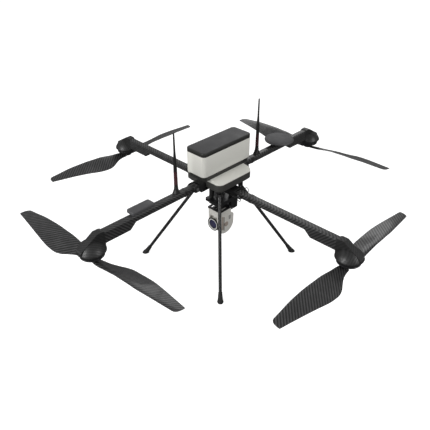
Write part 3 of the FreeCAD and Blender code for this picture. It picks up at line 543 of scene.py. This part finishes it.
def rotor(arm):
    """The propeller, its hub and spacer, and the motor can under one arm's outer end."""
    body = "rotor_" + arm
    place = polar(ARM_REACH, LEVEL[arm], AZIMUTH[arm])
    turn = BLADE_AZIMUTH[arm]
    level = LEVEL[arm]
    x, y = place.translation.x, place.translation.y
    laid = math.radians(turn + CLOTH_LAY)
    # the light tone is the cross tows' painted sheen on the blade's black cloth
    cloth = carbon("blade_cloth_" + arm, (math.cos(laid), math.sin(laid), 0),
                   (-math.sin(laid), math.cos(laid), 0),
                   cell=2.2, dark=0.003, light=0.07, roughness=0.33, coat=0.25)
    pair = []
    for half in (0, 180):
        hub = place_at(x, y, level - 50, turn + half)
        pair.append(lofted(f"blade_{arm}_{half}", blade_rings(), cloth, body, hub, angle=50))
    merged("propeller_blades_" + arm, pair, ("propeller_" + arm,))
    hub = place_at(x, y, level, turn)
    spun("propeller_hub_" + arm,
         [(0, -45), (11, -45), (12.4, -45.6), (13, -47), (13, -53), (12, -54.6), (8, -55), (0, -55)],
         BLACK, body, hub)
    spun("gold_spacer_" + arm,
         [(8, -42.8), (11.4, -42.8), (12, -43.2), (12, -44.6), (11.4, -45), (8, -45)],
         BRASS, body, hub)
    spots = [(9.6 * math.cos(a), 9.6 * math.sin(a), -54.4)
             for a in (math.radians(45 + 90 * i) for i in range(4))]
    screws("hub_screws_" + arm, spots, 1.5, 0.5, DARK_STEEL, body, hub, (0, 0, -1))
    spun("motor_can_" + arm,
         [(3, -40), (3, -42.4), (12.5, -43), (14, -42.6), (24, -42.6), (27.6, -42.2),
          (28.8, -40.8), (29, -39), (28.3, -38.4), (28.3, -37.8), (29, -37.2),
          (29, -27.4), (28.3, -26.8), (28.3, -26.2), (29, -25.6), (28.8, -24.4),
          (26.6, -24.4), (26.6, -39.4), (25.4, -40), (3, -40)],
         MOTOR, body, hub, replaces=("motor_bell_" + arm,), slot="motor_metal")
    # dark panes round the underside of the can stand for its cooling openings: painted shade in place
    # of the holes' shadowed insides
    slots = []
    for i in range(12):
        own = hub @ Matrix.Rotation(math.radians(30 * i), 4, "Z")
        outline = rounded(4.2, 1.7, 1.6, 4, (19, 0))
        slots.append(prism(f"vent_{arm}_{i}", outline, -42.9, -42.4, CHARCOAL_RIM, body, own))
    merged("motor_vent_shade_" + arm, slots)


def arm_parts(arm):
    """The finish of one arm's CAD pieces, and the band round its root."""
    body = "arm_" + arm
    azimuth = AZIMUTH[arm]
    # the light tones are the cross tows' painted sheen on the black cloth of the tube and the motor
    # cover
    paint("arm_tube_" + arm,
          axis_cloth("tube_cloth_" + arm, azimuth, light=0.062, roughness=0.42), 0.7, 3)
    paint("motor_cover_" + arm,
          axis_cloth("cover_cloth_" + arm, azimuth, dark=0.010, light=0.022,
                     roughness=0.45, coat=0.1), 0.8, 3)
    paint("motor_stator_" + arm, COPPER, 0.4)
    place = polar(0, LEVEL[arm], azimuth)
    # an eight-sided band round the tube, just outside its hinge
    hinge = HINGE[arm]
    rings = []
    for x, grow in ((hinge + 30, 0.05), (hinge + 30.6, 0.5), (hinge + 37.4, 0.5), (hinge + 38, 0.05)):
        w = TUBE_HALF_WIDTH + grow
        h = TUBE_HALF_HEIGHT + grow
        c = 3.0
        rings.append([(x, y, z) for y, z in ((w, h - c), (w - c, h), (c - w, h), (-w, h - c),
                                             (-w, c - h), (c - w, -h), (w - c, -h), (w, c - h))])
    lofted("root_band_" + arm, rings, BLACK, body, place)
    paint("arm_bracket_" + arm, BLACK, 0.8)


for arm in LEVEL:
    rotor(arm)
    arm_parts(arm)


# ---- hinge pins and brackets -----------------------------------------------------------


def hinge_pins():
    """Quick-release pins, each with a head and a loose-looking pull ring at either end."""
    pins = []
    rings = []
    for arm in LEVEL:
        place = polar(HINGE[arm], LEVEL[arm], AZIMUTH[arm])
        across = place @ Matrix.Rotation(math.radians(-90), 4, "X")
        pins.append(spun("pin_" + arm,
                         [(0, -15.9), (2.4, -15.9), (3, -15.2), (3, 13.9), (4.2, 13.9), (4.2, 15.6),
                          (3.6, 16.2), (0, 16.2)], STEEL, "airframe", across, steps=32))
        # one ring stands up from the pin's head, the other hangs from its tail
        for end, (x, y, z) in (("head", (4.5, 15.2, 8.9)), ("tail", (4, -14.9, -7.6))):
            ring_place = place @ Matrix.Translation((x, y, z)) @ Matrix.Rotation(
                math.radians(90), 4, "X")
            rings.append(hoop(f"ring_{arm}_{end}", 6, 0.9, DARK_STEEL, "airframe", ring_place))
    merged("fold_pins", pins, ("arm_hinge_pins",))
    merged("pull_rings", rings)


hinge_pins()
paint("leg_brackets", BLACK, 0.6)
paint("leg_hinge_pins", STEEL, 0.3)


# ---- legs ------------------------------------------------------------------------------

SPLAY = math.degrees(math.atan2(FOOT_REACH - PIVOT_REACH, PIVOT_LEVEL))
LEG = math.hypot(FOOT_REACH - PIVOT_REACH, PIVOT_LEVEL)


def leg(corner):
    """One leg's cloth and its rubber boot."""
    body = "leg_" + corner
    place = polar(PIVOT_REACH, PIVOT_LEVEL, LEG_AZIMUTH[corner], SPLAY)
    down = place.to_3x3() @ Vector((0, 0, 1))
    side = place.to_3x3() @ Vector((1, 1, 0))
    # the light tone is the cross tows' painted sheen on the leg's black cloth
    paint("leg_tube_" + corner,
          carbon("leg_cloth_" + corner, tuple(down), tuple(side), dark=0.008, light=0.035), 0.3)
    # the boot's sole is level while the leg leans
    lean = math.tan(math.radians(SPLAY))
    steps = 40
    rings = []
    for radius, rise in ((5.1, 25.6), (5.6, 25), (5.7, 22), (5.4, 21.4), (5.4, 20.6), (5.8, 20),
                         (6.1, 15), (6.5, 10), (7.2, 5.5), (8.0, 2.6), (8.2, 1.2)):
        rings.append([(radius * math.cos(2 * math.pi * i / steps),
                       radius * math.sin(2 * math.pi * i / steps), rise - LEG)
                      for i in range(steps)])
    for radius, lift in ((8.3, 0.9), (7.9, 0.05), (3, 0.02)):
        ring = []
        for i in range(steps):
            x = radius * math.cos(2 * math.pi * i / steps)
            y = radius * math.sin(2 * math.pi * i / steps)
            ring.append((x, y, -LEG - x * lean + lift))
        rings.append(ring)
    for ring in rings[:-3]:
        for i, (x, y, z) in enumerate(ring):
            ring[i] = (x, y, max(z, -LEG - x * lean + 1.0))
    lofted("boot_" + corner, rings, RUBBER, body, place, replaces=("leg_foot_" + corner,),
           slot="rubber", angle=40)


for corner in LEG_AZIMUTH:
    leg(corner)


# ---- body ------------------------------------------------------------------------------

paint("body_tub", TUB_GREY, 1.2, 3)
paint("body_cover", OFF_WHITE, 1.4, 3)
paint("frame_hub", BLACK, 1.0, 3)
paint("battery_tray", CHARCOAL_RIM, 0.8, 3)
paint("battery_release", CHARCOAL, 0.6)
paint("battery_connector", BLACK, 0.4)
paint("payload_plate", carbon("plate_cloth", (0.707, 0.707, 0), (-0.707, 0.707, 0)), 0.5)
paint("plate_screws", DARK_STEEL, 0.3)
paint("avionics_board", CIRCUIT, 0.2)
paint("power_board", CIRCUIT, 0.2)
paint("battery_cells", FOIL, 0.8)


# ---- battery ---------------------------------------------------------------------------


def battery():
    """The battery's shell, lid, power button and charge lights."""
    stacked("battery_shell",
            [(30.5, 86.5, 293.0), (32.0, 88.0, 293.6), (32.8, 88.8, 295), (33, 89, 297),
             (33, 89, 349.4), (32.6, 88.6, 350.0), (32.2, 88.2, 350.5)],
            10, OFF_WHITE, "battery", replaces=("battery_case",), slot="off_white",
            angle=40)
    stacked("battery_lid",
            [(32.2, 88.2, 350.5), (32.9, 88.9, 350.9), (33, 89, 351.6), (33, 89, 359.6),
             (32.5, 88.5, 361.0), (31.6, 87.6, 361.6), (30.8, 86.8, 361.8)],
            10, CHARCOAL_RIM, "battery", replaces=("battery_cap",), slot="charcoal",
            angle=40)
    stacked("battery_lid_panel",
            [(31.0, 87.0, 361.2), (31.0, 87.0, 361.8), (30.6, 86.6, 362.0)],
            9, CHARCOAL, "battery", angle=40)
    # power button in its bezel at the rear end
    place = place_at(0, 89, 334.5) @ Matrix.Rotation(math.radians(-90), 4, "X")
    spun("power_bezel", [(6.2, 0.0), (6.4, 0.5), (7.6, 0.5), (8.0, 0.0), (6.2, 0.0)],
         CHARCOAL_RIM, "battery", place, steps=48)
    spun("power_cap", [(0, -2.8), (6, -2.8), (6, 0.2), (5.4, 0.9), (4.4, 0.6), (0, 0.6)],
         CHARCOAL, "battery_power_button", place, steps=48, replaces=("power_button",),
         slot="grey_plastic")
    for i in range(4):
        spun(f"charge_light_{i}", [(0, 0.1), (0.9, 0.1), (0.9, -0.4)], WHITE, "battery",
             place @ Matrix.Translation((12 + 4 * i, 0, 0)), steps=20)


battery()


# ---- gimbal and camera -----------------------------------------------------------------

GIMBAL_Y = 9
TILT_LEVEL = 105
LENS_LEVEL = 110
ROLL_LEVEL = 154


def housing_trim():
    """Side plates, service strips, pivot caps and vents on the camera's housing, and its screws. The
    vents and the gap beside each service strip are dark panes of painted shade.
    """
    body = "gimbal_roll"
    for sign in (-1, 1):
        side = "left" if sign > 0 else "right"
        wall = Matrix.Translation((sign * 20, GIMBAL_Y, TILT_LEVEL)) @ Matrix.Rotation(
            math.radians(sign * 90), 4, "Y") @ Matrix.Rotation(math.radians(sign * 90), 4, "Z")
        # seen from that side: first number along Y (mirrored on the right), second number up
        prism("side_plate_" + side, rounded(24, 10, 2, 4, (0, 17)), -0.2, 0.5, WARM_GREY, body,
              wall, bevel=0.3)
        prism("service_strip_" + side, rounded(3.2, 22, 1.6, 4, (-15, 8)), -0.2, 0.9, PINK_GREY,
              body, wall, bevel=0.2)
        # painted shade: a dark strip stands for the shadowed gap in the shell
        prism("service_gap_shade_" + side, rounded(1.1, 23, 0.8, 3, (-9.2, 4)), -0.2, 0.62, CHARCOAL,
              body, wall)
        # a hollow cap over the end of the tilt pin
        spun("pivot_cap_" + side, [(4.4, 0), (7.6, 0), (7.6, 1.2), (6.8, 1.8), (3.2, 1.8),
                                   (2.8, 1.2), (0.1, 1.2), (0.1, 0.8), (4.4, 0.8), (4.4, 0)],
             PINK_GREY, body, wall, steps=40)
        # painted shade: dark panes stand for the shadowed insides of the vent slots
        slots = [prism(f"side_vent_{side}_{k}", rounded(4.6, 0.8, 0.7, 3, (14, 12 + 3.4 * k)),
                       -0.2, 0.62, CHARCOAL, body, wall) for k in range(4)]
        merged("side_vent_shade_" + side, slots)
    spots = [(x, y, ROLL_LEVEL + 4) for x in (-21, 21) for y in (-17, 22)]
    screws("frame_screws", spots, 1.8, 1.0, STEEL, body)


def gimbal():
    """Damper bellows, the gimbal's own finishes, and the lens."""
    bellows = []
    for x in (-15, 15):
        for y in (GIMBAL_Y - 22, GIMBAL_Y + 22):
            profile = [(0, 188), (5, 188), (5, 191.6)]
            for k in range(5):
                z = 192.4 + 4.4 * k
                profile += [(5.4, z), (7.2, z + 1.3), (7.5, z + 2.2), (7.2, z + 3.1), (5.4, z + 4.1)]
            profile += [(5, 215.4), (5, 218), (0, 218)]
            bellows.append(spun(f"bellow_{x}_{y}", profile, RUBBER, "airframe",
                                place_at(x, y), steps=32))
    merged("damper_bellows", bellows, ("gimbal_dampers",))
    paint("gimbal_carrier", BLACK_METAL, 0.5)
    paint("gimbal_yaw_arm", BLACK_METAL, 1.0, 3)
    paint("gimbal_roll_frame", BLACK_METAL, 0.5)
    paint("camera_yoke", WARM_GREY, 1.2, 3)
    paint("camera_drum", WARM_GREY, 0.8, 3)
    housing_trim()
    facing = place_at(0, GIMBAL_Y - 31.5, LENS_LEVEL) @ Matrix.Rotation(math.radians(90), 4, "X")
    spun("lens_barrel",
         [(0, -3.5), (12, -3.5), (12, 0), (19.2, 0), (20, 0.6), (20, 2.0), (19.6, 2.7), (18.8, 3),
          (17.6, 2.9), (17.0, 2.2), (13.4, 2.0), (12.8, 0.4), (0, 0.4)], CHARCOAL_RIM, "camera",
         facing, steps=96, replaces=("camera_lens",), slot="lens_glass")
    spun("lens_white_ring",
         [(17.0, 2.1), (16.8, 2.7), (16.2, 2.9), (14.4, 2.6), (13.7, 2.1), (17.0, 2.1)], WHITE,
         "camera", facing, steps=96)
    dome = [(0, 2.0)] + [(12.6 * math.sin(a), 0.5 + 1.5 * math.cos(a))
                         for a in (math.radians(9 * k) for k in range(1, 11))] + [(0, 0.5)]
    spun("lens_front_glass", dome, LENS, "camera", facing, steps=64)


gimbal()


# ---- aerials and boxes on the arms -----------------------------------------------------


def whip(arm):
    """A whip aerial on its foot, with a sleeve and a coloured band."""
    body = "arm_" + arm
    place = polar(154, 267, AZIMUTH[arm])
    base = []
    for half_x, half_y, z in ((9, 6.4, 0), (9, 6.4, 2.4), (8.4, 6.2, 3), (6.2, 6.0, 9),
                              (5.2, 5.2, 13), (5.0, 5.0, 14)):
        base.append([(x, y, z) for x, y in rounded(half_x, half_y, 2.2 + z * 0.2, 4)])
    lofted("whip_foot_" + arm, base, BLACK, body, place)
    spun("whip_sleeve_" + arm,
         [(0, 13), (5.4, 13), (5.6, 14), (5.6, 17), (5.2, 17.6), (5.0, 20), (4.9, 26)],
         BLACK, body, place, steps=32)
    spun("whip_band_" + arm, [(4.9, 26), (4.85, 26.2), (4.6, 62), (4.6, 62.2)], RED_BAND, body,
         place, steps=32)
    spun("whip_rod_" + arm,
         [(4.6, 62), (4.4, 88), (3.6, 100), (2.6, 114), (2.2, 150), (1.9, 162), (1.4, 163.6),
          (0, 164)], BLACK, body, place, steps=32, replaces=("antenna_" + arm,),
         slot="black_plastic")


def receiver():
    """The round satellite receiver on the rear arm."""
    place = place_at(0, 256, 267)
    spun("receiver_dome",
         [(0, 19), (10, 18.7), (22, 17.6), (32, 16.0), (38, 14.7), (41, 13.6), (42.6, 12),
          (43, 10.8), (42.8, 10.4)], PUCK_GREY, "arm_rear", place, steps=96,
         replaces=("gnss_receiver",), slot="grey_plastic")
    spun("receiver_base",
         [(42.2, 10.4), (42.6, 9.6), (42.0, 8.2), (34, 5.4), (20, 2.2), (14, 1.6), (14, 0),
          (0, 0)], CHARCOAL, "arm_rear", place, steps=96)


def radio():
    """The flat radio module beside the front arm."""
    rings = []
    for half_x, half_y, z, corner in ((12.6, 32.6, 267, 4), (13.4, 33.4, 267.6, 5),
                                      (13.5, 33.5, 270, 5), (13.5, 33.5, 273.4, 5),
                                      (12.9, 32.9, 274.9, 4.6), (12.0, 32.0, 275.5, 4)):
        rings.append([(x - 6.5, y - 261.5, z) for x, y in rounded(half_x, half_y, corner, 6)])
    lofted("radio_case", rings, PUCK_GREY, "arm_front", replaces=("radio_module",),
           slot="charcoal", angle=40)


whip("front")
whip("rear")
receiver()
radio()
